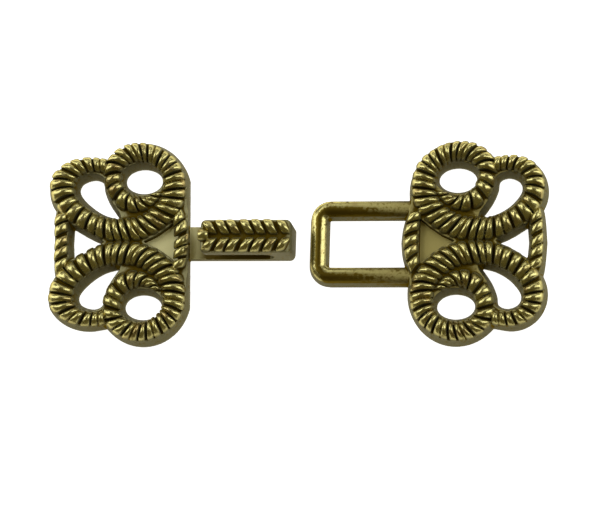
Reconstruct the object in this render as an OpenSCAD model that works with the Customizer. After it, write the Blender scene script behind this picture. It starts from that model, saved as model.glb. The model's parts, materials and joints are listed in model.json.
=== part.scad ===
// Two-piece cast clasp for a cloak or coat: a hook half and an eye half, laid out unfastened on their
// flat backs. X runs along the clasp, Y across it, Z up from the backs. Millimetres.
// Each plate is drawn in its own frame: u runs outwards from the clasp side, v up from the middle line.

/* [Plates] */
// Thickness of the pierced plate under the rope relief
plate_t = 2.4; // [2.4:0.1:2.7]
// Height of the rope relief above the plate, where the rope is widest
relief_h = 1.5; // [1:0.05:1.6]
// Thickness of the sunk three-cornered web
web_t = 1.5; // [1.1:0.1:1.8]
// Distance between the two plates, measured at their first scrolls
plate_gap = 33; // [33:0.5:40]

/* [Eye] */
// Width of the bar that frames the eye, at its foot
eye_bar_w = 2.6; // [2.3:0.1:2.8]
// Height of the wall of that bar
eye_wall_h = 1.6; // [1.3:0.1:1.6]
// Rise of its rounded top above the wall
eye_crown_h = 0.7; // [0.5:0.1:0.7]
// Clear width of the eye, across the clasp
eye_clear_w = 7.5; // [7:0.1:8]
// Clear length of the eye, from its end bar to the first scrolls of the plate
eye_clear_l = 12.1; // [10:0.1:12.3]

/* [Hook] */
// Width of the hook
hook_w = 4.8; // [4:0.1:5.2]
// Reach of the hook beyond the first scrolls of the plate
hook_reach = 16.2; // [14:0.1:16.5]
// Thickness of the bar that runs out along the back
base_t = 1.3; // [1.1:0.1:1.6]
// Height of the throat that takes the eye's end bar
throat_h = 2.8; // [2.8:0.1:3.2]
// Thickness of the bar that is bent back over the throat
return_t = 1.6; // [1.6:0.1:2.1]
// Opening between the hook's tip and the first scrolls of the plate
mouth_l = 2.5; // [2.5:0.1:3.5]
// Thickness of the closed end of the hook
end_t = 3.0; // [2:0.1:3.5]
// Height of the braid on top of the hook
braid_h = 1.1; // [0.6:0.05:1.1]

/* [Hidden] */
brass = "#8f7f3f";

// Centres and half-sizes of the plate's two scrolls, as [u, v]
scroll_1 = [7.25, 7.7];
scroll_1_r = [7.28, 7.8];
scroll_2 = [15.35, 7.75];
scroll_2_r = [5.3, 5.45];
// Sewing eyelet inside the first scroll
eyelet = [7.2, 9.6];
eyelet_r = [2.8, 2.0];
// Height up to which the plate's walls stand straight, and how far they lean back above it
wall_h = 0.8;
wall_lean = 0.35;

// Clasp-side edge of the plate, from the middle line to the first scroll: u, v
clasp_edge = [[-1.1, 0], [-0.9, 2.0], [-0.4, 4.0], [0.0, 5.8]];
// Outer edge of the plate, from the second scroll to the middle line: u, v
outer_edge = [[20.1, 4.4], [20.3, 2.8], [20.5, 0]];
// Teardrop window, from its pointed end round and back to it: u, v
teardrop = [
    [10.9, 3.8], [13.1, 4.4], [15.2, 5.75], [16.65, 7.7], [16.4, 9.2],
    [14.9, 9.9], [13.5, 9.4], [13.2, 7.9], [12.4, 6.0], [10.9, 3.8]
];
// Upper side of the three-cornered outer window, from its point: u, v
outer_window = [[13.5, 0], [14.6, 0.45], [15.8, 1.1], [17.6, 2.3]];
outer_window_side = 17.8;
// Upper side of the sunk web, from the clasp side to its point: u, v
web_edge = [[2.0, 2.6], [3.2, 1.75], [4.5, 0.95], [6.2, 0]];

// Route of the scroll rope, from its curled tip to its other end: u, v, width, length of one strand
scroll_route = [
    [4.45, 7.75, 0.9, 0.9],
    [5.3, 6.8, 1.5, 0.95],
    [6.6, 5.9, 2.0, 1.05],
    [8.0, 5.7, 2.3, 1.2],
    [9.5, 6.2, 2.4, 1.5],
    [10.8, 7.6, 2.3, 1.7],
    [11.45, 9.5, 2.2, 1.7],
    [11.4, 11.4, 2.3, 1.7],
    [10.4, 12.9, 2.5, 1.5],
    [9.0, 13.6, 2.6, 1.3],
    [7.3, 13.8, 2.6, 1.3],
    [5.7, 13.4, 2.6, 1.3],
    [4.2, 12.6, 2.8, 1.4],
    [2.95, 11.5, 3.0, 1.4],
    [2.3, 10.0, 3.2, 1.45],
    [2.15, 8.3, 3.3, 1.45],
    [2.4, 6.5, 3.4, 1.45],
    [3.3, 4.95, 3.4, 1.45],
    [4.6, 3.7, 3.3, 1.45],
    [6.2, 2.6, 3.3, 1.4],
    [8.0, 1.95, 3.3, 1.4],
    [9.95, 1.8, 3.3, 1.4],
    [11.9, 1.85, 3.3, 1.4],
    [13.7, 2.3, 3.3, 1.4],
    [15.5, 3.2, 3.3, 1.5],
    [17.1, 4.5, 3.3, 1.6],
    [18.3, 6.2, 3.2, 1.6],
    [18.65, 8.0, 3.2, 1.6],
    [18.4, 9.6, 3.1, 1.5],
    [17.4, 10.95, 2.7, 1.4],
    [16.1, 11.65, 2.3, 1.35],
    [14.7, 11.8, 2.1, 1.3],
    [13.0, 11.6, 2.0, 1.2]
];
// Route of the upright rope on the clasp side: u, v, width, length of one strand
inner_route = [
    [1.2, -4.1, 1.3, 1.7],
    [0.7, -2.2, 2.1, 1.8],
    [0.5, 0, 2.3, 1.8],
    [0.7, 2.2, 2.1, 1.8],
    [1.2, 4.1, 1.3, 1.7]
];
// Route of the upright rope on the outer side: u, v, width, length of one strand
outer_route = [
    [18.95, -3.8, 1.4, 1.75],
    [19.05, -2.0, 1.8, 1.75],
    [19.1, 0, 1.9, 1.75],
    [19.05, 2.0, 1.8, 1.75],
    [18.95, 3.8, 1.4, 1.75]
];

// Where the rows of a rope's sections lie within a strand, how high and how wide they stand
strand_at = [0, 0.3, 0.7];
strand_lift = [0.45, 1, 1];
strand_spread = [0.93, 1, 1];
// Steps between two rows of a route in which its strands are counted, and the stretch that gives its course
route_steps = 8;
course = 0.05;
// Points across a rope's section, from edge to edge, and the height of its dome there
across = [-1, -0.8, -0.42, 0, 0.42, 0.8, 1];
dome = [0, 0.58, 0.91, 1, 0.91, 0.58, 0];
// Depth to which a rope's foot reaches into the plate
foot = 0.3;
// Ratio of a rope's height to its width where it thins out
slender = 0.5;
// Lean of the strands, in strands from the middle of the rope to its edge
scroll_lean = 0.5;
upright_lean = 0.35;
braid_lean = 0.35;

// Roundings of the hook: its closed end, the top and the underside of its tip seen from the side, and its
// corners seen from above
hook_round = 0.9;
tip_round = 0.5;
tip_lead = 1.0;
end_round = 0.9;
// Depth to which the plate and the eye's bars are drawn below the backs, before they are trimmed level
plate_below = 0.6;
eye_below = 0.3;
// How far the walls of the eye's bars lean back
eye_wall_lean = 0.3;
// How far the hook's base bar and the eye's bars reach into their plates
hook_root = 1.6;
eye_root = 0.9;
// Rounding of the eye's inner corners, and the steps in which its corners turn
eye_corner_r = 0.2;
eye_corner_step = 15;
// Rounding of the tip's corners seen from above
tip_corner_r = 1.3;
// Length of one strand of the braid, width of the strands round its tip, and the plain end past it
braid_strand = 1.76;
tip_strand_w = 1.3;
braid_end = 1.4;
// Gap between the braid's rows, and from them to the hook's sides
braid_gap = 0.08;

// Steps of a rounding, and the margin by which what is cut away passes the metal
arc_steps = 6;
margin = 1;

clasp_x = plate_gap / 2;
hook_end_x = hook_reach - clasp_x;
hook_tip_x = mouth_l - clasp_x;
hook_root_x = -clasp_x - hook_root;
return_z = base_t + throat_h;
hook_top = return_z + return_t;
eye_in_x = clasp_x - eye_clear_l;
eye_top = eye_wall_h + eye_crown_h;

// Smooth curve through rows of numbers, at a place counted in rows
function curve(rows, place) =
    let (
        last = len(rows) - 1,
        i = min(max(floor(place), 0), last - 1),
        t = place - i,
        a = rows[max(i - 1, 0)],
        b = rows[i],
        c = rows[i + 1],
        d = rows[min(i + 2, last)]
    )
    b + 0.5 * t * (c - a + t * (2 * a - 5 * b + 4 * c - d + t * (3 * (b - c) + d - a)));

function smooth(rows, steps) =
    [for (k = [0 : (len(rows) - 1) * steps]) curve(rows, k / steps)];

function ellipse(centre, radius, from, to, steps) =
    [for (k = [0 : steps])
        let (a = from + (to - from) * k / steps)
        [centre.x + radius.x * cos(a), centre.y + radius.y * sin(a)]];

function arc(centre, radius, from, to) = ellipse(centre, [radius, radius], from, to, arc_steps);

function reversed(points) = [for (k = [len(points) - 1 : -1 : 0]) points[k]];

// The same points below the middle line, in the opposite order
function mirrored(points) = [for (p = reversed(points)) [p.x, -p.y]];

// The upper half of an outline that starts and ends on the middle line, closed by its mirror image
function both_sides(upper) =
    concat(upper, [for (k = [len(upper) - 2 : -1 : 1]) [upper[k].x, -upper[k].y]]);

// The outline moved outwards by an amount, for points that run counterclockwise
function grown(points, amount) =
    let (n = len(points))
    [for (k = [0 : n - 1])
        let (along = points[(k + 1) % n] - points[(k + n - 1) % n])
        points[k] + amount * [along.y, -along.x] / norm(along)];

outline = reversed(both_sides(concat(
    smooth(clasp_edge, 4),
    ellipse(scroll_1, scroll_1_r, 187, 41, 24),
    ellipse(scroll_2, scroll_2_r, 100, -30, 18),
    smooth(outer_edge, 3)
)));
window_outline = reversed(both_sides(concat(outer_window, [[outer_window_side, 0]])));
teardrop_outline = [for (k = [0 : (len(teardrop) - 1) * 3 - 1]) curve(teardrop, k / 3)];
web_outline = concat([for (k = [0 : len(web_edge) - 2]) web_edge[k]], mirrored(web_edge));

// Number of strands from the start of a route to each of its fine steps
function strand_count(route) =
    let (fine = smooth(route, route_steps))
    [for (
        k = 0, turns = 0;
        k < len(fine);
        turns = turns + (k + 1 < len(fine)
            ? norm([fine[k + 1].x - fine[k].x, fine[k + 1].y - fine[k].y]) / fine[k][3]
            : 0),
        k = k + 1
    ) [turns, k / route_steps]];

// One point of a rope: the strand that it is on, its place across, and the strand row's lift and spread
function rope_point(route, count, turn, i, row, lean, base) =
    let (
        place = lookup(turn + lean * across[i], count),
        at = curve(route, place),
        ahead = curve(route, place + course) - curve(route, place - course),
        along = [ahead.x, ahead.y] / norm([ahead.x, ahead.y]),
        out = across[i] * at[2] / 2 * strand_spread[row],
        height = min(base[1], slender * at[2]) * dome[i] * strand_lift[row],
        z = dome[i] == 0 ? base[0] - foot : base[0] + height
    )
    [at.x - along.y * out, at.y + along.x * out, z];

// A solid skinned over sections of n points each, with both its ends closed
module skinned(points, n) {
    last = len(points) - n;
    skin = [for (j = [0 : n : last - n], i = [0 : n - 1])
        let (a = j + i, b = j + (i + 1) % n)
        each [[a, b, b + n], [a, b + n, a + n]]];
    ends = [for (i = [1 : n - 2]) each [[0, i + 1, i], [last, last + i, last + i + 1]]];
    polyhedron(points, concat(skin, ends));
}

// A twisted rope laid along a route. base holds the height it lies on and its full relief
module rope(route, lean, base) {
    count = strand_count(route);
    total = count[len(count) - 1][0];
    strands = floor(total - 2 * abs(lean));
    start = (total - strands) / 2;
    rows = len(strand_at);
    n = len(across);
    skinned([for (j = [0 : strands * rows], i = [0 : n - 1])
        rope_point(route, count, start + floor(j / rows) + strand_at[j % rows], i, j % rows, lean, base)], n);
}

// A solid through levels that each hold a height and how far the outline has grown there
module leaning_walls(points, levels) {
    n = len(points);
    rings = [for (level = levels) each [for (p = grown(points, level[1])) [p.x, p.y, level[0]]]];
    skin = [for (j = [0 : len(levels) - 2], i = [0 : n - 1])
        let (a = j * n + i, b = j * n + (i + 1) % n)
        each [[a, b + n, b], [a, a + n, b + n]]];
    floor_face = [for (i = [0 : n - 1]) i];
    top_face = [for (i = [1 : n]) len(levels) * n - i];
    polyhedron(rings, concat(skin, [floor_face, top_face]));
}

module pierced_plate() {
    through = [[-margin, 0], [wall_h, 0], [plate_t, wall_lean], [plate_t + margin, wall_lean]];
    difference() {
        leaning_walls(outline, [[-plate_below, 0], [wall_h, 0], [plate_t, -wall_lean]]);
        leaning_walls(window_outline, through);
        for (side = [0, 1]) mirror([0, side, 0]) {
            leaning_walls(ellipse(eyelet, eyelet_r, 0, 350, 35), through);
            leaning_walls(teardrop_outline, through);
        }
        translate([0, 0, web_t]) linear_extrude(plate_t) polygon(web_outline);
    }
}

// The scroll plate in its own frame. upright_hand turns the lean of the upright ropes
module scroll_plate(upright_hand) {
    base = [plate_t, relief_h];
    pierced_plate();
    rope(scroll_route, scroll_lean, base);
    mirror([0, 1, 0]) rope(scroll_route, scroll_lean, base);
    rope(inner_route, upright_hand * upright_lean, base);
    rope(outer_route, upright_hand * upright_lean, base);
}

// Side view of the hook: the neck and base bar, the closed end and the bar bent back over the throat
module hook_side() {
    slot_end = hook_end_x - end_t - throat_h / 2;
    polygon(concat(
        [[hook_root_x, 0]],
        arc([hook_end_x - hook_round, hook_round], hook_round, -90, 0),
        arc([hook_end_x - hook_round, hook_top - hook_round], hook_round, 0, 90),
        arc([hook_tip_x + tip_round, hook_top - tip_round], tip_round, 90, 180),
        arc([hook_tip_x + tip_lead, return_z + tip_lead], tip_lead, 180, 270),
        arc([slot_end, return_z - throat_h / 2], throat_h / 2, 90, -90),
        [[hook_root_x, base_t]]
    ));
}

// Plan of the hook, with the rounded corners of its closed end
module hook_plan() {
    half = hook_w / 2;
    corner = arc([hook_end_x - end_round, half - end_round], end_round, 0, 90);
    polygon(concat(corner, [[hook_root_x, half], [hook_root_x, -half]], mirrored(corner)));
}

// What is rounded off one corner of the tip, seen from above
module tip_corner() {
    half = hook_w / 2;
    polygon(concat(
        arc([hook_tip_x + tip_corner_r, half - tip_corner_r], tip_corner_r, 90, 180),
        [
            [hook_tip_x - margin, half - tip_corner_r],
            [hook_tip_x - margin, half + margin],
            [hook_tip_x + tip_corner_r, half + margin]
        ]
    ));
}

module hook() {
    difference() {
        intersection() {
            translate([0, hook_w / 2, 0]) rotate([90, 0, 0]) linear_extrude(hook_w) hook_side();
            linear_extrude(hook_top) hook_plan();
        }
        for (side = [0, 1]) mirror([0, side, 0])
            translate([0, 0, return_z - throat_h / 2]) linear_extrude(hook_top) tip_corner();
    }
}

// Two rows of strands that lean together like an ear of wheat, and one strand across the tip
module braid() {
    base = [hook_top, braid_h];
    row_w = (hook_w - 3 * braid_gap) / 2;
    row_y = (row_w + braid_gap) / 2;
    tip_y = hook_w / 2 - braid_gap - tip_strand_w / 2;
    for (side = [1, -1])
        rope([
            [hook_tip_x + 0.5, side * (tip_y - 0.3), tip_strand_w * 0.8, braid_strand],
            [hook_tip_x + 1.6, side * tip_y, tip_strand_w, braid_strand],
            [hook_tip_x + 3.4, side * row_y, row_w, braid_strand],
            [hook_end_x - braid_end, side * row_y, row_w, braid_strand]
        ], -side * braid_lean, base);
    rope([
        [hook_tip_x + 0.1, 0, tip_strand_w, braid_strand],
        [hook_tip_x + 2.0, 0, tip_strand_w * 0.8, braid_strand]
    ], 0, base);
}

// Section of the eye's bar, from its inner edge outwards
function eye_bar() =
    let (
        half_crown = eye_bar_w / 2 - eye_wall_lean,
        crown_r = (pow(half_crown, 2) + pow(eye_crown_h, 2)) / (2 * eye_crown_h),
        half_angle = asin(half_crown / crown_r)
    )
    concat(
        [[0, 0], [0, -eye_below], [eye_bar_w, -eye_below], [eye_bar_w, 0]],
        arc([eye_bar_w / 2, eye_top - crown_r], crown_r, 90 - half_angle, 90 + half_angle)
    );

// Rectangular frame: an end bar, two rounded corners and two side bars that run into the plate
module eye_frame() {
    side_y = eye_clear_w / 2 - eye_corner_r;
    corner_x = eye_in_x + eye_corner_r;
    root_x = clasp_x + eye_root;
    stations = concat(
        [[root_x, side_y, 90]],
        [for (turn = [0 : eye_corner_step : 90]) [corner_x, side_y, 90 + turn]],
        [for (turn = [0 : eye_corner_step : 90]) [corner_x, -side_y, 180 + turn]],
        [[root_x, -side_y, 270]]
    );
    bar = eye_bar();
    skinned([for (s = stations, p = bar)
        let (out = eye_corner_r + p.x)
        [s.x + out * cos(s.z), s.y + out * sin(s.z), p.y]], len(bar));
}

// Trims what was drawn below the flat backs
module level_back() {
    intersection() {
        union() children();
        linear_extrude(hook_top) square(3 * plate_gap, center = true);
    }
}

module hook_half() {
    color(brass) {
        level_back() translate([-clasp_x, 0, 0]) mirror([1, 0, 0]) scroll_plate(1);
        hook();
        braid();
    }
}

module eye_half() {
    color(brass) level_back() {
        translate([clasp_x, 0, 0]) scroll_plate(-1);
        eye_frame();
    }
}

hook_half();
eye_half();
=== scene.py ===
# Two-piece cast clasp for a cloak or coat, laid out unfastened on its flat backs: a hook half on the left
# and an eye half on the right, in antiqued brass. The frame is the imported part; sizes here are millimetres
# until they are handed to a mesh, and a plate's own points are u outwards from its clasp side, v upwards.
import json
import math

import bpy
import numpy as np
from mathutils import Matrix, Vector

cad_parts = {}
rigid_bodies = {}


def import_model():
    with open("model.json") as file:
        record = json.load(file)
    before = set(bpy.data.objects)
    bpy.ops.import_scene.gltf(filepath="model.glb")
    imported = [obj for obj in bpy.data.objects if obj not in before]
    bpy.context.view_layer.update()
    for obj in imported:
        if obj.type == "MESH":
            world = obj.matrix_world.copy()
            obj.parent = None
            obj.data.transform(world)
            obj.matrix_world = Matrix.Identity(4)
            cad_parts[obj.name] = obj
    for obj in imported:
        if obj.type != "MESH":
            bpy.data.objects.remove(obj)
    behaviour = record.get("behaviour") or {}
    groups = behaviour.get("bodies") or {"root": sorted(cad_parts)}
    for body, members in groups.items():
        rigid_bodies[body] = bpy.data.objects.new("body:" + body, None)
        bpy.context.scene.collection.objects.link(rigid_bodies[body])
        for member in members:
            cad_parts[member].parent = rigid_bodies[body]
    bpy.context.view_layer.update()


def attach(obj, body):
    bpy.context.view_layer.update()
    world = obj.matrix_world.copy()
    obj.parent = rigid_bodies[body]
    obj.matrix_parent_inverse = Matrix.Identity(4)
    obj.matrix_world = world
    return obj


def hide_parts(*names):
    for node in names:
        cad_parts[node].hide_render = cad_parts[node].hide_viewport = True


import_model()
MM = 0.001

# Camera: it looks down on the clasp from its lower right, through a long lens, as the photograph was taken.
# It is turned a little, because the photograph's sides aren't quite square to the clasp.
camera_place = (60, -95, 400)
camera_turn = (13.075, 8.1, 1.74)
camera_lens = 167.2

bpy.ops.object.camera_add(
    location=[length * MM for length in camera_place],
    rotation=[math.radians(angle) for angle in camera_turn]
)
camera = bpy.context.object
camera.name = "camera"
camera.data.lens = camera_lens
camera.data.sensor_width = 36
camera.data.clip_start = 0.01
bpy.context.scene.camera = camera

# Pierced plates: the two scroll plates under the rope relief, each cast with its half in one pour.
# Their walls stand straight at the back and lean back above, as a casting that leaves its mould.
plate_t = 2.4
wall_h = 0.7
wall_lean = 0.45
window_lean = 0.6
web_t = 1.5
clasp_x = 16.5
scroll_1, scroll_1_r, scroll_1_arc = (7.25, 7.7), (7.28, 7.8), (187, 41)
scroll_2, scroll_2_r, scroll_2_arc = (15.35, 7.75), (5.3, 5.45), (100, -30)
eyelet, eyelet_r = (7.2, 9.6), (2.8, 1.9)
clasp_edge = [(-1.1, 0), (-0.9, 2.0), (-0.4, 4.0), (0.0, 5.8)]
outer_edge = [(20.1, 4.4), (20.3, 2.8), (20.5, 0)]
teardrop = [
    (10.9, 3.8), (13.1, 4.4), (15.2, 5.75), (16.65, 7.7), (16.4, 9.2),
    (14.9, 9.9), (13.5, 9.4), (13.2, 7.9), (12.4, 6.0), (10.9, 3.8)
]
outer_window = [(13.5, 0), (14.6, 0.45), (15.8, 1.1), (17.6, 2.3)]
outer_window_side = 17.8
web_edge = [(1.7, 3.5), (3.3, 2.15), (5.1, 0.9), (7.0, 0)]
margin = 1


def curve_at(rows, places):
    """Points of the smooth curve through rows of numbers, at places counted in rows."""
    rows = np.asarray(rows, float)
    last = len(rows) - 1
    i = np.clip(np.floor(places).astype(int), 0, last - 1)
    t = (places - i)[..., None]
    a, b, c, d = rows[np.maximum(i - 1, 0)], rows[i], rows[i + 1], rows[np.minimum(i + 2, last)]
    return b + 0.5 * t * (c - a + t * (2 * a - 5 * b + 4 * c - d + t * (3 * (b - c) + d - a)))


def smooth_line(rows, steps):
    return curve_at(rows, np.linspace(0, len(rows) - 1, (len(rows) - 1) * steps + 1))


def oval(centre, radius, start, end, steps):
    turn = np.radians(np.linspace(start, end, steps + 1))
    return np.stack([centre[0] + radius[0] * np.cos(turn), centre[1] + radius[1] * np.sin(turn)], 1)


def both_sides(upper):
    """An outline whose upper half starts and ends on the middle line, closed by its mirror image."""
    upper = np.asarray(upper, float)
    return np.concatenate([upper, (upper * (1, -1))[-2:0:-1]])


def mirrored(points):
    return (np.asarray(points, float) * (1, -1))[::-1]


def grown(points, amount):
    """The outline moved outwards by an amount, or inwards by a negative one."""
    before, after = np.roll(points, 1, 0), np.roll(points, -1, 0)
    area = np.sum(before[:, 0] * points[:, 1] - points[:, 0] * before[:, 1])
    along = after - before
    out = np.stack([along[:, 1], -along[:, 0]], 1) * np.sign(area)
    return points + amount * out / np.maximum(np.linalg.norm(out, axis=1, keepdims=True), 1e-6)


def select_only(*pieces):
    bpy.ops.object.select_all(action="DESELECT")
    for piece in pieces:
        piece.select_set(True)
    bpy.context.view_layer.objects.active = pieces[-1]


def raised_outline(name, points, levels):
    """A solid with the outline as its plan. Each level is a height and the outline's growth there."""
    bpy.ops.object.select_all(action="DESELECT")
    bpy.ops.mesh.primitive_circle_add(vertices=len(points), fill_type="NGON")
    piece = bpy.context.object
    piece.name = name
    bpy.ops.object.mode_set(mode="EDIT")
    for height, _ in levels[1:]:
        bpy.ops.mesh.extrude_region_move(TRANSFORM_OT_translate={"value": (0, 0, height)})
    bpy.ops.object.mode_set(mode="OBJECT")
    rings = []
    for height, growth in levels:
        rings.append(np.column_stack([grown(points, growth), np.full(len(points), height)]))
    piece.data.vertices.foreach_set("co", (np.concatenate(rings) * MM).ravel())
    bpy.ops.object.mode_set(mode="EDIT")
    bpy.ops.mesh.select_all(action="SELECT")
    bpy.ops.mesh.normals_make_consistent(inside=False)
    bpy.ops.object.mode_set(mode="OBJECT")
    return piece


def trimmed(piece, operation, cutter):
    trim = piece.modifiers.new("trim", "BOOLEAN")
    trim.operation = operation
    trim.solver = "EXACT"
    trim.object = cutter
    select_only(piece)
    bpy.ops.object.modifier_apply(modifier=trim.name)
    bpy.data.objects.remove(cutter)


def vectors(items, field):
    """One row of three numbers for each vertex or normal."""
    values = np.zeros(len(items) * 3)
    items.foreach_get(field, values)
    return values.reshape(-1, 3)


def moved(piece, scale, place):
    """The piece with its mesh scaled, or mirrored by a negative scale, and then moved by a place in mm."""
    co = vectors(piece.data.vertices, "co") * scale + np.multiply(place, MM)
    piece.data.vertices.foreach_set("co", co.ravel())
    if np.prod(scale) < 0:
        piece.data.flip_normals()
    piece.data.update()
    return piece


outline = both_sides(np.concatenate([
    smooth_line(clasp_edge, steps=4),
    oval(scroll_1, scroll_1_r, *scroll_1_arc, steps=48),
    oval(scroll_2, scroll_2_r, *scroll_2_arc, steps=36),
    smooth_line(outer_edge, steps=3)
]))
through = [(-margin, 0), (wall_h, 0), (plate_t, window_lean), (plate_t + margin, window_lean)]
eye_plate = raised_outline("eye_plate", outline, [(0, 0), (wall_h, 0), (plate_t, -wall_lean)])
windows = [both_sides(outer_window + [(outer_window_side, 0)])]
for upper in (oval(eyelet, eyelet_r, 0, 360, steps=60)[:-1], smooth_line(teardrop, steps=6)[:-1]):
    windows += [upper, mirrored(upper)]
for window in windows:
    trimmed(eye_plate, "DIFFERENCE", raised_outline("window", window, through))
web = np.concatenate([web_edge[:-1], mirrored(web_edge)])
trimmed(eye_plate, "DIFFERENCE", raised_outline("web", web, [(web_t, 0), (plate_t + margin, 0)]))
moved(eye_plate, (1, 1, 1), (clasp_x, 0, 0))

# Hook plate: the same plate turned round for the hook half, with a straight edge on the clasp side. It came
# out of its mould a little wider, askew and longer on its outer side, and what is cast on it goes with it.
straight_in = 0.2
straight_x = -straight_in - clasp_x
straight_v = 10
hook_shift = 0.3
hook_lean = 0.035
hook_wider = 1.01
stretch_from, stretch_over = 15, 5.3
stretch_least, stretch_rise, stretch_to_v = 0.4, 0.09, 10


def copied(piece, name):
    twin = piece.copy()
    twin.data = piece.data.copy()
    twin.name = name
    bpy.context.scene.collection.objects.link(twin)
    return twin


def rising(values, start, over):
    """How far each value has come past the start on its way over a span, from 0 to 1."""
    return np.clip((values - start) / over, 0, 1)


def askew(piece):
    """The piece as it lies in the hook half."""
    co = vectors(piece.data.vertices, "co") / MM
    outer = rising(-co[:, 0] - clasp_x, stretch_from, stretch_over)
    stretch = stretch_least + stretch_rise * np.minimum(np.abs(co[:, 1]), stretch_to_v)
    co[:, 0] += hook_shift - hook_lean * co[:, 1] - stretch * outer
    co[:, 1] *= hook_wider
    piece.data.vertices.foreach_set("co", (co * MM).ravel())
    piece.data.update()
    return piece


hook_plate = moved(copied(eye_plate, "hook_plate"), (-1, 1, 1), (0, 0, 0))
beyond = [(straight_x, -straight_v), (0, -straight_v), (0, straight_v), (straight_x, straight_v)]
all_through = [(-margin, 0), (plate_t + margin, 0)]
trimmed(hook_plate, "DIFFERENCE", raised_outline("beyond", np.array(beyond), all_through))
askew(hook_plate)

# Scroll ropes: the twisted rope that curls round each eyelet and runs on over the second scroll. Every
# strand is the same one, cast as a rounded ridge that arches over the rope, and laid a little unevenly.
# The columns are u, v, the rope's width, the room for one strand, and how far its ends lean along the rope.
relief_h = 1.5
relief_to_width = 0.5
rope_foot = 0.5
strand_fill = 0.8
strand_end = 0.8
strand_taper = 12
strand_arch = 0.65
crown_share = 0.5
crown_round = 0.75
strand_uneven = 0.06
strand_drift, strand_swell = 2.4, 1.7
route_steps = 12
glance = 0.05
rounding = 0.001
width_column, room_column, lean_column = 2, 3, 4
scroll_route = [
    (4.45, 7.75, 0.9, 0.85, 0.3), (5.3, 6.8, 1.5, 0.9, 0.5), (6.6, 5.9, 2.0, 1.0, 0.6),
    (8.0, 5.7, 2.7, 1.25, 0.5), (9.6, 6.15, 3.0, 1.6, 0.4), (11.0, 7.55, 3.0, 1.7, 0.35),
    (11.65, 9.5, 3.0, 1.7, 0.4), (11.5, 11.4, 3.0, 1.6, 0.5), (10.4, 12.8, 3.1, 1.35, 0.6),
    (9.0, 13.5, 3.1, 1.05, 0.6), (7.3, 13.65, 3.1, 1.0, 0.5), (5.7, 13.3, 3.1, 1.0, 0.4),
    (4.3, 12.5, 3.2, 1.05, 0.3), (3.05, 11.4, 3.4, 1.1, 0.2), (2.4, 10.0, 3.6, 1.15, 0.2),
    (2.25, 8.3, 3.7, 1.25, 0.35), (2.5, 6.5, 3.7, 1.3, 0.45), (3.35, 4.95, 3.7, 1.3, 0.55),
    (4.6, 3.7, 3.7, 1.3, 0.65), (6.2, 2.6, 3.7, 1.25, 0.65), (8.0, 1.95, 3.7, 1.15, 0.6),
    (9.95, 1.8, 3.7, 1.15, 0.5), (11.9, 1.85, 3.6, 1.15, 0.4), (13.7, 2.3, 3.5, 1.3, 0.3),
    (15.5, 3.2, 3.4, 1.5, 0.3), (17.1, 4.5, 3.4, 1.6, 0.3), (18.3, 6.2, 3.3, 1.6, 0.3),
    (18.65, 8.0, 3.3, 1.55, 0.3), (18.4, 9.6, 3.2, 1.35, 0.3), (17.4, 10.95, 2.9, 1.2, 0.3),
    (16.1, 11.65, 2.6, 1.15, 0.3), (14.7, 11.8, 2.4, 1.1, 0.25), (13.2, 11.65, 2.3, 1.1, 0.2),
    (12.2, 11.4, 2.2, 1.1, 0.2)
]

bpy.ops.object.select_all(action="DESELECT")
bpy.ops.mesh.primitive_uv_sphere_add(segments=28, ring_count=24, radius=1, rotation=(math.pi / 2, 0, 0))
strand = bpy.context.object
strand.name = "strand"
bpy.ops.object.transform_apply(location=False, rotation=True, scale=False)
ball = vectors(strand.data.vertices, "co")


def joined(name, pieces):
    select_only(*pieces)
    bpy.ops.object.join()
    piece = bpy.context.object
    piece.name = name
    return piece


def rope(name, route, twist, base_z, relief, fill):
    """Strands laid side by side along a route, on a base at base_z. A negative twist leans them back."""
    route = np.asarray(route, float)
    places = np.linspace(0, len(route) - 1, (len(route) - 1) * route_steps + 1)
    fine = curve_at(route, places)
    steps = np.linalg.norm(np.diff(fine[:, :2], axis=0), axis=1)
    run = np.concatenate([[0], np.cumsum(steps)])
    turns = np.concatenate([[0], np.cumsum(steps / fine[1:, room_column])])
    start = abs(twist) * route[0, lean_column] / route[0, room_column]
    end = turns[-1] - abs(twist) * route[-1, lean_column] / route[-1, room_column]
    count = int(end - start + rounding)
    first = (start + end - count + 1) / 2

    across = np.sign(ball[:, 1]) * np.abs(ball[:, 1]) ** strand_end
    taper = (1 - np.abs(across) ** strand_taper) ** 0.5
    ring = np.maximum(np.hypot(ball[:, 0], ball[:, 2]), 1e-6)
    side, up = ball[:, 0] / ring * taper, ball[:, 2] / ring
    arch = (1 - across ** 2) ** strand_arch

    pieces = []
    for k in range(count):
        turn = first + k + strand_uneven * math.sin(strand_drift * k) + fill * side / 2
        lean = curve_at(route, np.interp(turn, turns, places))[:, lean_column]
        place = np.interp(np.interp(turn, turns, run) + twist * lean * across, run, places)
        at = curve_at(route, place)
        ahead = curve_at(route, place + glance)[:, :2] - curve_at(route, place - glance)[:, :2]
        ahead /= np.linalg.norm(ahead, axis=1, keepdims=True)
        swell = 1 + strand_uneven * math.cos(strand_swell * k)
        height = np.minimum(relief, relief_to_width * at[:, width_column]) * arch * swell
        crown = height * crown_share
        ridge = height - crown
        rise = np.abs(up) ** crown_round * taper
        z = np.where(up > 0, ridge + crown * rise, ridge * (1 - rise) - rope_foot * rise)
        half = across * at[:, width_column] / 2
        co = np.stack([at[:, 0] - ahead[:, 1] * half, at[:, 1] + ahead[:, 0] * half, base_z + z], 1)
        piece = copied(strand, name)
        piece.data.vertices.foreach_set("co", (co * MM).ravel())
        pieces.append(piece)
    return joined(name, pieces)


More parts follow.
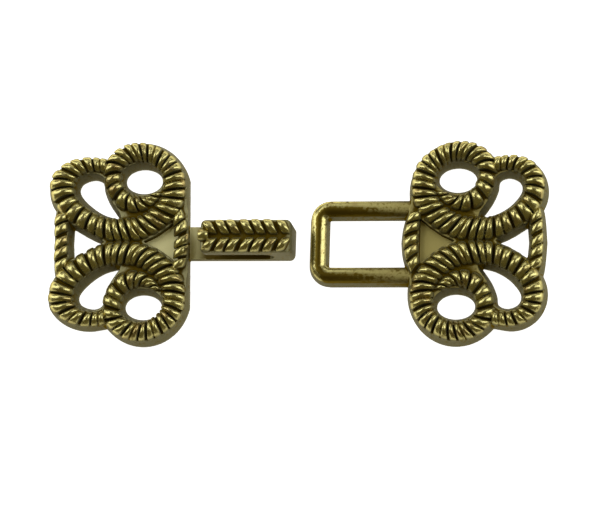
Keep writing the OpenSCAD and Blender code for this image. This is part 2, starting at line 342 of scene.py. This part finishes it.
eye_scroll_a = rope("eye_scroll_a", scroll_route, 1, plate_t, relief_h, strand_fill)
moved(eye_scroll_a, (1, 1, 1), (clasp_x, 0, 0))
eye_scroll_b = moved(copied(eye_scroll_a, "eye_scroll_b"), (1, -1, 1), (0, 0, 0))

hook_scroll_a = askew(moved(copied(eye_scroll_a, "hook_scroll_a"), (-1, 1, 1), (0, 0, 0)))
hook_scroll_b = askew(moved(copied(eye_scroll_b, "hook_scroll_b"), (-1, 1, 1), (0, 0, 0)))

# Upright ropes: a short twisted rope closes each plate on the clasp side and on the outer side, cast in one
# with it. Their strands lean the same way in both halves.
inner_route = [
    (1.6, -5.4, 1.4, 1.8, 0.6), (1.05, -3.8, 2.0, 1.8, 0.6), (0.65, -2.0, 2.3, 1.8, 0.6),
    (0.5, 0, 2.5, 1.8, 0.6), (0.65, 2.0, 2.3, 1.8, 0.6), (1.05, 3.8, 2.0, 1.8, 0.6),
    (1.6, 5.4, 1.4, 1.8, 0.6)
]
outer_route = [
    (18.7, -5.2, 1.6, 1.8, 0.6), (18.95, -3.4, 2.0, 1.8, 0.6), (19.05, -1.7, 2.1, 1.8, 0.6),
    (19.1, 0, 2.1, 1.8, 0.6), (19.05, 1.7, 2.1, 1.8, 0.6), (18.95, 3.4, 2.0, 1.8, 0.6),
    (18.7, 5.2, 1.6, 1.8, 0.6)
]

hook_rope_in = {"inner": 0.6, "outer": 0}
eye_uprights, hook_uprights = [], []
for side, route in (("inner", inner_route), ("outer", outer_route)):
    upright = rope("eye_" + side, route, -1, plate_t, relief_h, strand_fill)
    eye_uprights.append(moved(upright, (1, 1, 1), (clasp_x, 0, 0)))
    upright = rope("hook_" + side, route, 1, plate_t, relief_h, strand_fill)
    hook_uprights.append(askew(moved(upright, (-1, 1, 1), (-clasp_x - hook_rope_in[side], 0, 0))))

# Eye frame: a rectangular loop of bar for the hook to catch, with leaning walls and a rounded top. It runs
# in under the plate's edge, where the two are one casting.
eye_bar_w = 3.0
eye_wall_h = 1.6
eye_wall_lean = 0.3
eye_crown_h = 0.75
eye_clear_w = 7.1
eye_in_x = 4.7
eye_corner_r = 0.2
eye_root = 0.9
eye_root_x = clasp_x + eye_root

half_crown = eye_bar_w / 2 - eye_wall_lean
crown_r = (half_crown ** 2 + eye_crown_h ** 2) / (2 * eye_crown_h)
crown_angle = math.degrees(math.asin(half_crown / crown_r))
crown_centre = (eye_bar_w / 2, eye_wall_h + eye_crown_h - crown_r)
crown = oval(crown_centre, (crown_r, crown_r), 90 - crown_angle, 90 + crown_angle, steps=16)
bar_section = np.concatenate([[(0, 0), (eye_bar_w, 0)], crown])
side_y = eye_clear_w / 2 - eye_corner_r
corner_x = eye_in_x + eye_corner_r

bpy.ops.object.select_all(action="DESELECT")
bpy.ops.mesh.primitive_circle_add(vertices=len(bar_section), fill_type="NGON")
eye_frame = bpy.context.object
eye_frame.name = "eye_frame"
out_y = side_y + eye_corner_r + bar_section[:, 0]
section = np.column_stack([np.full(len(bar_section), eye_root_x), out_y, bar_section[:, 1]])
eye_frame.data.vertices.foreach_set("co", (section * MM).ravel())
run = (eye_root_x - corner_x) * MM
bpy.ops.object.mode_set(mode="EDIT")
bpy.ops.mesh.select_all(action="SELECT")
bpy.ops.mesh.extrude_region_move(TRANSFORM_OT_translate={"value": (-run, 0, 0)})
bpy.ops.mesh.spin(steps=12, angle=-math.pi / 2, center=(corner_x * MM, side_y * MM, 0), axis=(0, 0, 1))
bpy.ops.mesh.extrude_region_move(TRANSFORM_OT_translate={"value": (0, -2 * side_y * MM, 0)})
bpy.ops.mesh.spin(steps=12, angle=-math.pi / 2, center=(corner_x * MM, -side_y * MM, 0), axis=(0, 0, 1))
bpy.ops.mesh.extrude_region_move(TRANSFORM_OT_translate={"value": (run, 0, 0)})
bpy.ops.mesh.select_all(action="SELECT")
bpy.ops.mesh.remove_doubles(threshold=1e-6)
bpy.ops.mesh.normals_make_consistent(inside=False)
bpy.ops.object.mode_set(mode="OBJECT")

# Hook: a flat bar runs out from the plate, turns up in a closed end and comes back over the throat, which
# takes the end bar of the eye. It is one casting with its plate.
hook_w = 5.0
hook_end_x = -0.3
hook_tip_x = -14.0
hook_root_x = -18.1
base_t = 1.3
throat_h = 2.8
return_t = 1.6
end_t = 3.0
hook_round = 0.9
tip_round, tip_lead = 0.5, 1.0
end_round, tip_corner_r = 0.9, 0.9
return_z = base_t + throat_h
hook_top = return_z + return_t
slot_x = hook_end_x - end_t - throat_h / 2
hook_half_w = hook_w / 2


def turned(centre, radius, start, end):
    return oval(centre, (radius, radius), start, end, steps=10)


hook_side = np.concatenate([
    [(hook_root_x, 0)],
    turned((hook_end_x - hook_round, hook_round), hook_round, -90, 0),
    turned((hook_end_x - hook_round, hook_top - hook_round), hook_round, 0, 90),
    turned((hook_tip_x + tip_round, hook_top - tip_round), tip_round, 90, 180),
    turned((hook_tip_x + tip_lead, return_z + tip_lead), tip_lead, 180, 270),
    turned((slot_x, return_z - throat_h / 2), throat_h / 2, 90, -90),
    [(hook_root_x, base_t)]
])
hook = raised_outline("hook", hook_side, [(-hook_half_w, 0), (hook_half_w, 0)])
select_only(hook)
bpy.ops.transform.rotate(value=-math.pi / 2, orient_axis="X", center_override=(0, 0, 0))
bpy.ops.object.transform_apply(location=False, rotation=True, scale=False)

end_corner = turned((hook_end_x - end_round, hook_half_w - end_round), end_round, 0, 90)
root = [(hook_root_x, hook_half_w), (hook_root_x, -hook_half_w)]
hook_plan = np.concatenate([end_corner, root, mirrored(end_corner)])
trimmed(hook, "INTERSECT", raised_outline("plan", hook_plan, [(-margin, 0), (hook_top + margin, 0)]))
tip_corner = np.concatenate([
    turned((hook_tip_x + tip_corner_r, hook_half_w - tip_corner_r), tip_corner_r, 90, 180),
    [
        (hook_tip_x - margin, hook_half_w - tip_corner_r),
        (hook_tip_x - margin, hook_half_w + margin),
        (hook_tip_x + tip_corner_r, hook_half_w + margin)
    ]
])
for corner in (tip_corner, mirrored(tip_corner)):
    over_throat = [(return_z - throat_h / 2, 0), (hook_top + margin, 0)]
    trimmed(hook, "DIFFERENCE", raised_outline("corner", corner, over_throat))

# Braid: two rows of strands cast on the hook's back that lean together like an ear of wheat, and one strand
# at its tip. The columns are those of the scrolls, with x and y in place of u and v.
braid_h = 1.1
braid_lean = 0.6
braid_strand = 1.83
braid_fill = 0.72
braid_edge = -0.05
valley = 0.35
row_w = (hook_w - 2 * braid_edge - valley) / 2
row_y = (row_w + valley) / 2

braid = []
for side in (1, -1):
    row = [
        (hook_tip_x - 0.15, side * 1.2, 1.9, braid_strand, braid_lean),
        (hook_tip_x + 1.6, side * 1.35, 2.2, braid_strand, braid_lean),
        (hook_tip_x + 3.6, side * row_y, row_w, braid_strand, braid_lean),
        (hook_end_x - 2.6, side * row_y, row_w, braid_strand, braid_lean),
        (hook_end_x + 0.3, side * 1.1, 1.5, braid_strand, braid_lean)
    ]
    braid.append(rope("braid_row", row, -side, hook_top, braid_h, braid_fill))
tip_row = [(hook_tip_x - 0.5, 0.15, 1.9, 2.0, 0), (hook_tip_x + 1.5, 0.15, 1.9, 2.0, 0)]
braid.append(rope("braid_tip", tip_row, 1, hook_top, braid_h, strand_fill))

# The two castings: everything that one pour made is run together, its edges and corners softened as in
# cast metal. Each point keeps how deep it lies in a groove and in a hollow, how far it was polished, whether
# it was rubbed bare of patina and how far it is painted lighter where it faces up, as painted light, and
# where painted shade is laid under the hook's arm and on the eye frame's crowns.
grain = 0.085
face_limit = 190000
edge_rounds = 2
groove_rounds = 40
hollow_rounds = 300
film = 0.15
plate_side = 15.2
web_side = clasp_x + 6.5
web_top, relief_base = web_t + film, plate_t + film
braid_base = hook_top + 0.1
frame_edge = eye_wall_h - 0.2
cap_l = 1.6
# Painted shade under the hook's arm starts this far in from its tip.
throat_dark = 2.0
# Shares of the lighter colour, painted light, on the cap and ledges where they face up.
cap_lit_share, hook_ledge_lit_share, eye_ledge_lit_share = 0.25, 0.4, 0.8
# Strength of the painted shade on the eye frame's crowns.
crown_painted_shade = 0.3
faces_up, polish_fade = 0.3, 0.4
# How steeply a surface may lean and still get the painted light of flats that face up.
hook_facing_up_slope, eye_facing_up_slope = (0.6, 0.3), (0.7, 0.2)
# Where the frame's crowns turn away from the far light, towards the camera side, for their painted shade.
shade_side_slope, shade_far_slope = (0.18, 0.3), (0, 0.4)


def applied(piece, kind, **settings):
    change = piece.modifiers.new(kind, kind)
    for setting, value in settings.items():
        setattr(change, setting, value)
    select_only(piece)
    bpy.ops.object.modifier_apply(modifier=change.name)


def keep(casting, name, values):
    """Keeps a number for each point of the casting, for its material to read."""
    layer = casting.data.attributes.new(name, "FLOAT", "POINT")
    layer.data.foreach_set("value", np.asarray(values, np.float32))


def keep_depth(casting, name, rounds):
    """Keeps how many millimetres each point lies below its surroundings, as smoothing would lift it."""
    level = copied(casting, name)
    applied(level, "SMOOTH", factor=0.5, iterations=rounds)
    lift = vectors(level.data.vertices, "co") - vectors(casting.data.vertices, "co")
    keep(casting, name, np.sum(lift * vectors(casting.data.vertex_normals, "vector"), 1) / MM)
    bpy.data.objects.remove(level)


def clear_crumbs(casting):
    """Leaves the casting its one skin, without the tiny closed bubbles that lie between its strands."""
    outermost = int(np.argmax(np.abs(vectors(casting.data.vertices, "co")[:, 0])))
    select_only(casting)
    bpy.ops.object.mode_set(mode="EDIT")
    bpy.ops.mesh.select_mode(type="VERT")
    bpy.ops.mesh.select_all(action="DESELECT")
    bpy.ops.object.mode_set(mode="OBJECT")
    casting.data.vertices[outermost].select = True
    bpy.ops.object.mode_set(mode="EDIT")
    bpy.ops.mesh.select_linked()
    bpy.ops.mesh.select_all(action="INVERT")
    bpy.ops.mesh.delete(type="VERT")
    bpy.ops.object.mode_set(mode="OBJECT")


def cast(name, pieces):
    casting = joined(name, pieces)
    applied(casting, "REMESH", mode="VOXEL", voxel_size=grain * MM)
    clear_crumbs(casting)
    applied(casting, "SMOOTH", factor=0.5, iterations=edge_rounds)
    keep_depth(casting, "groove", groove_rounds)
    keep_depth(casting, "hollow", hollow_rounds)
    kept_share = min(1, face_limit / (2 * len(casting.data.polygons)))
    applied(casting, "DECIMATE", ratio=kept_share, use_collapse_triangulate=True)
    clear_crumbs(casting)
    bpy.ops.object.shade_smooth()
    return casting


def polish(co, normal, edge_z):
    """How far polishing has reached: 1 on what stands above the edge and faces up, 0 on the walls."""
    return rising(co[:, 2], edge_z, polish_fade) * rising(normal[:, 2], faces_up, polish_fade)


hook_pieces = [hook_plate, hook_scroll_a, hook_scroll_b, *hook_uprights, hook, *braid]
eye_pieces = [eye_plate, eye_scroll_a, eye_scroll_b, *eye_uprights, eye_frame]
hook_casting = cast("hook_casting", hook_pieces)
eye_casting = cast("eye_casting", eye_pieces)
bpy.data.objects.remove(strand)

hook_co = vectors(hook_casting.data.vertices, "co") / MM
hook_normal = vectors(hook_casting.data.vertex_normals, "vector")
on_hook = hook_co[:, 0] > -plate_side
polish_base = np.where(on_hook, braid_base, relief_base)
keep(hook_casting, "polish", polish(hook_co, hook_normal, polish_base))
on_cap = (hook_co[:, 0] > hook_end_x - cap_l) & (hook_co[:, 2] > return_z)
on_neck = (hook_co[:, 2] < base_t + film) & on_hook
in_throat = on_neck & (hook_co[:, 0] > hook_tip_x + throat_dark) & (hook_normal[:, 2] > faces_up)
on_web = (hook_co[:, 2] < web_top) & (hook_co[:, 0] > -web_side) & ~on_hook
on_bare_and_lit = on_web | (on_neck & ~in_throat)
# Flats that face up get the lighter colour as painted light and walls keep the dark one as painted shade;
# webs and the neck are also rubbed bare of patina.
share = np.where(on_cap, cap_lit_share, np.where(on_bare_and_lit, 1, hook_ledge_lit_share))
keep(hook_casting, "rubbed_and_lit", share * rising(hook_normal[:, 2], *hook_facing_up_slope))
# Painted shade under the hook's return arm, laid on in the patina colour.
keep(hook_casting, "painted_shade", in_throat)

eye_co = vectors(eye_casting.data.vertices, "co") / MM
eye_normal = vectors(eye_casting.data.vertex_normals, "vector")
on_frame = eye_co[:, 0] < plate_side
polish_base = np.where(on_frame, frame_edge, relief_base)
keep(eye_casting, "polish", polish(eye_co, eye_normal, polish_base))
on_web = (eye_co[:, 2] < web_top) & (eye_co[:, 0] < web_side) & ~on_frame
# Flats that face up get the lighter colour as painted light and walls keep the dark one as painted shade;
# the webs are also rubbed bare of patina.
share = np.where(on_web, 1, eye_ledge_lit_share)
keep(eye_casting, "rubbed_and_lit", share * rising(eye_normal[:, 2], *eye_facing_up_slope))
# Painted shade on the half of each frame crown that faces away from the far light, towards the camera side,
# mottled and laid on in the patina colour.
along_middle = 1 - rising(np.abs(eye_normal[:, 0]), *shade_side_slope)
near_side = 1 - rising(eye_normal[:, 1], *shade_far_slope)
on_crown = on_frame & (eye_co[:, 2] > eye_wall_h)
keep(eye_casting, "painted_shade", crown_painted_shade * on_crown * along_middle * near_side)

for casting, node in ((hook_casting, "hook_half"), (eye_casting, "eye_half")):
    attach(casting, "root")
    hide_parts(node)

# Antiqued brass: polished crests, a matt olive bloom that is painted darker on walls as painted shade and
# lighter on flats that face up as painted light, and brown-black patina that was left in the grooves and
# hollows when the relief was rubbed bright. The patina colour also lays painted shade under the hook's arm
# and on the eye frame's crowns.
crest_colour = (0.58, 0.5, 0.18, 1)
spot_colour = (0.30, 0.17, 0.05, 1)
# Walls: a dark matt olive, darkened as painted shade.
wall_colour = (0.13, 0.115, 0.047, 1)
# The patina colour is also the colour of the painted shade.
patina_and_shade_colour = (0.145, 0.09, 0.003, 1)
# Painted light: the lighter colours of flats that face up, brighter on the hook half than on the eye half.
hook_lit_flat_colour = (0.96, 0.87, 0.43, 1)
eye_lit_flat_colour = (0.56, 0.46, 0.15, 1)
matt, glossy, patina_matt = 0.6, 0.27, 0.15
matt_bump, glossy_bump = 0.35, 0.22
least_metallic = 0.4
groove_full = 0.055
hollow_from, hollow_full = 0.03, 0.15
ragged_edge = 0.12

ageing = bpy.data.node_groups.new("ageing", "ShaderNodeTree")
for socket in ("Crest", "Rubbed_and_lit", "Clean_and_unshaded", "Mottle", "Height"):
    ageing.interface.new_socket(socket, in_out="OUTPUT", socket_type="NodeSocketFloat")


def node_in(tree, kind, **settings):
    node = tree.nodes.new(kind)
    for setting, value in settings.items():
        setattr(node, setting, value)
    return node


def mapped(tree, value, low, high, to_low=0.0, to_high=1.0):
    ramp = node_in(tree, "ShaderNodeMapRange", interpolation_type="SMOOTHSTEP")
    tree.links.new(value, ramp.inputs["Value"])
    for socket, number in (("From Min", low), ("From Max", high), ("To Min", to_low), ("To Max", to_high)):
        ramp.inputs[socket].default_value = number
    return ramp.outputs["Result"]


def calculated(tree, operation, first, second):
    sum_node = node_in(tree, "ShaderNodeMath", operation=operation)
    for socket, value in zip(sum_node.inputs, (first, second)):
        if isinstance(value, (int, float)):
            socket.default_value = value
        else:
            tree.links.new(value, socket)
    return sum_node.outputs["Value"]


def noise(tree, place, scale, detail):
    texture = node_in(tree, "ShaderNodeTexNoise")
    texture.inputs["Scale"].default_value = scale
    texture.inputs["Detail"].default_value = detail
    tree.links.new(place, texture.inputs["Vector"])
    return texture.outputs["Fac"]


place = node_in(ageing, "ShaderNodeTexCoord").outputs["Object"]
kept = {
    name: node_in(ageing, "ShaderNodeAttribute", attribute_name=name).outputs["Fac"]
    for name in ("groove", "hollow", "polish", "rubbed_and_lit", "painted_shade")
}
blotches = noise(ageing, place, scale=450, detail=4)
specks = noise(ageing, place, scale=1700, detail=3)
grains = noise(ageing, place, scale=5200, detail=3)
from_mean = calculated(ageing, "SUBTRACT", specks, 0.5)
ragged = calculated(ageing, "MULTIPLY", from_mean, ragged_edge)
groove = calculated(ageing, "ADD", kept["groove"], ragged)
out_of_groove = mapped(ageing, groove, 0, groove_full, to_low=1, to_high=0)
bare = mapped(ageing, kept["rubbed_and_lit"], 0.85, 1)
covered = calculated(ageing, "SUBTRACT", 1, bare)
# Painted shade under the hook's arm and on the frame's crowns, added to the patina of the hollows.
painted_shade = calculated(ageing, "MULTIPLY", kept["painted_shade"], calculated(ageing, "MULTIPLY", specks, 2))
hollow = calculated(ageing, "MULTIPLY", kept["hollow"], covered)
dark = calculated(ageing, "ADD", hollow, painted_shade)
out_of_hollow_and_shade = mapped(ageing, dark, hollow_from, hollow_full, to_low=1, to_high=0.05)
pits = mapped(ageing, specks, 0.32, 0.44, to_low=0.5, to_high=1)
clean_and_unshaded = calculated(ageing, "MULTIPLY", calculated(ageing, "MULTIPLY", out_of_groove, out_of_hollow_and_shade), pits)
clean_and_unshaded = calculated(ageing, "MAXIMUM", clean_and_unshaded, bare)
crest = calculated(ageing, "MULTIPLY", kept["polish"], mapped(ageing, specks, 0.25, 0.42))
height = calculated(ageing, "ADD", calculated(ageing, "MULTIPLY", grains, 0.35), specks)
mottle = mapped(ageing, blotches, 0.53, 0.7, to_low=0, to_high=0.6)
result = node_in(ageing, "NodeGroupOutput")
for socket, value in zip(result.inputs, (crest, kept["rubbed_and_lit"], clean_and_unshaded, mottle, height)):
    ageing.links.new(value, socket)


def mixed(tree, share, first, second):
    mix = node_in(tree, "ShaderNodeMix", data_type="RGBA")
    tree.links.new(share, mix.inputs["Factor"])
    for socket, colour in ((mix.inputs["A"], first), (mix.inputs["B"], second)):
        if isinstance(colour, tuple):
            socket.default_value = colour
        else:
            tree.links.new(colour, socket)
    return mix.outputs["Result"]


def antique_brass(casting, lit_flat_colour):
    metal = bpy.data.materials.new(casting.name + "_brass")
    metal.use_nodes = True
    tree = metal.node_tree
    shader = tree.nodes["Principled BSDF"]
    age = node_in(tree, "ShaderNodeGroup", node_tree=ageing)
    # Painted light and shade: flats that face up are lighter, walls darker.
    plain = mixed(tree, age.outputs["Rubbed_and_lit"], wall_colour, lit_flat_colour)
    worn = mixed(tree, age.outputs["Mottle"], crest_colour, spot_colour)
    surface = mixed(tree, age.outputs["Crest"], plain, worn)
    # The patina colour also lays the painted shade.
    tree.links.new(mixed(tree, age.outputs["Clean_and_unshaded"], patina_and_shade_colour, surface), shader.inputs["Base Color"])
    patina_and_shade = calculated(tree, "SUBTRACT", 1, age.outputs["Clean_and_unshaded"])
    gloss = mapped(tree, age.outputs["Crest"], 0, 1, matt, glossy)
    dull = calculated(tree, "MULTIPLY", patina_and_shade, patina_matt)
    tree.links.new(calculated(tree, "ADD", gloss, dull), shader.inputs["Roughness"])
    shine = calculated(tree, "MAXIMUM", age.outputs["Crest"], patina_and_shade)
    tree.links.new(mapped(tree, shine, 0, 1, least_metallic, 1), shader.inputs["Metallic"])
    shader.inputs["Specular IOR Level"].default_value = 0.25
    shader.inputs["Specular Tint"].default_value = (0.8, 0.7, 0.45, 1)
    bump = node_in(tree, "ShaderNodeBump")
    roughened = mapped(tree, age.outputs["Crest"], 0, 1, matt_bump, glossy_bump)
    tree.links.new(roughened, bump.inputs["Strength"])
    bump.inputs["Distance"].default_value = 0.00006
    tree.links.new(age.outputs["Height"], bump.inputs["Height"])
    tree.links.new(bump.outputs["Normal"], shader.inputs["Normal"])
    casting.data.materials.clear()
    casting.data.materials.append(metal)


antique_brass(hook_casting, hook_lit_flat_colour)
antique_brass(eye_casting, eye_lit_flat_colour)

# Table: a plain white sheet that the clasp lies on, lit from below like a light table, so that it takes no
# shadow. It isn't part of the clasp.
bpy.ops.object.select_all(action="DESELECT")
bpy.ops.mesh.primitive_plane_add(size=3, location=(0, 0, 0))
table = bpy.context.object
table.name = "table"
paint = bpy.data.materials.new("white_table")
paint.use_nodes = True
paint_shader = paint.node_tree.nodes["Principled BSDF"]
paint_shader.inputs["Base Color"].default_value = (0.9, 0.9, 0.9, 1)
paint_shader.inputs["Roughness"].default_value = 0.9
paint_shader.inputs["Emission Color"].default_value = (1, 1, 1, 1)
paint_shader.inputs["Emission Strength"].default_value = 1.0
table.data.materials.append(paint)

# Light: long soft boxes to the left and right that draw a bright line on each side of every crest, a
# weaker one beyond the clasp and a small one over its far left. The room above is dim, where the camera
# stands, and a pale backdrop hangs round the table.
daylight = (0.82, 0.88, 1)
soft_boxes = (
    ("left_box", (-0.6, 0.2, 0.35), (0.35, 0.9), 2.4),
    ("right_box", (0.6, 0.2, 0.35), (0.35, 0.9), 2.75),
    ("far_box", (0, 0.7, 0.38), (0.9, 0.36), 1.0),
    ("corner_box", (-0.3, 0.35, 0.5), (0.2, 0.2), 0.55)
)
for name, location, size, watts in soft_boxes:
    facing = Vector(location).to_track_quat("Z", "Y").to_euler()
    bpy.ops.object.light_add(type="AREA", location=location, rotation=facing)
    box = bpy.context.object
    box.name = name
    box.data.shape = "RECTANGLE"
    box.data.size, box.data.size_y = size
    box.data.energy = watts
    box.data.color = daylight
    box.visible_camera = False

studio = bpy.data.worlds.new("studio")
bpy.context.scene.world = studio
studio.use_nodes = True
surroundings = studio.node_tree
dim_room = surroundings.nodes["Background"]
dim_room.inputs["Color"].default_value = (1, 0.88, 0.42, 1)
dim_room.inputs["Strength"].default_value = 0.115
backdrop = node_in(surroundings, "ShaderNodeBackground")
backdrop.inputs["Color"].default_value = (0.85, 0.85, 0.85, 1)
either = node_in(surroundings, "ShaderNodeMixShader")
seen = node_in(surroundings, "ShaderNodeLightPath")
surroundings.links.new(seen.outputs["Is Camera Ray"], either.inputs[0])
surroundings.links.new(dim_room.outputs["Background"], either.inputs[1])
surroundings.links.new(backdrop.outputs["Background"], either.inputs[2])
surroundings.links.new(either.outputs["Shader"], surroundings.nodes["World Output"].inputs["Surface"])
bpy.context.scene.view_settings.view_transform = "Standard"
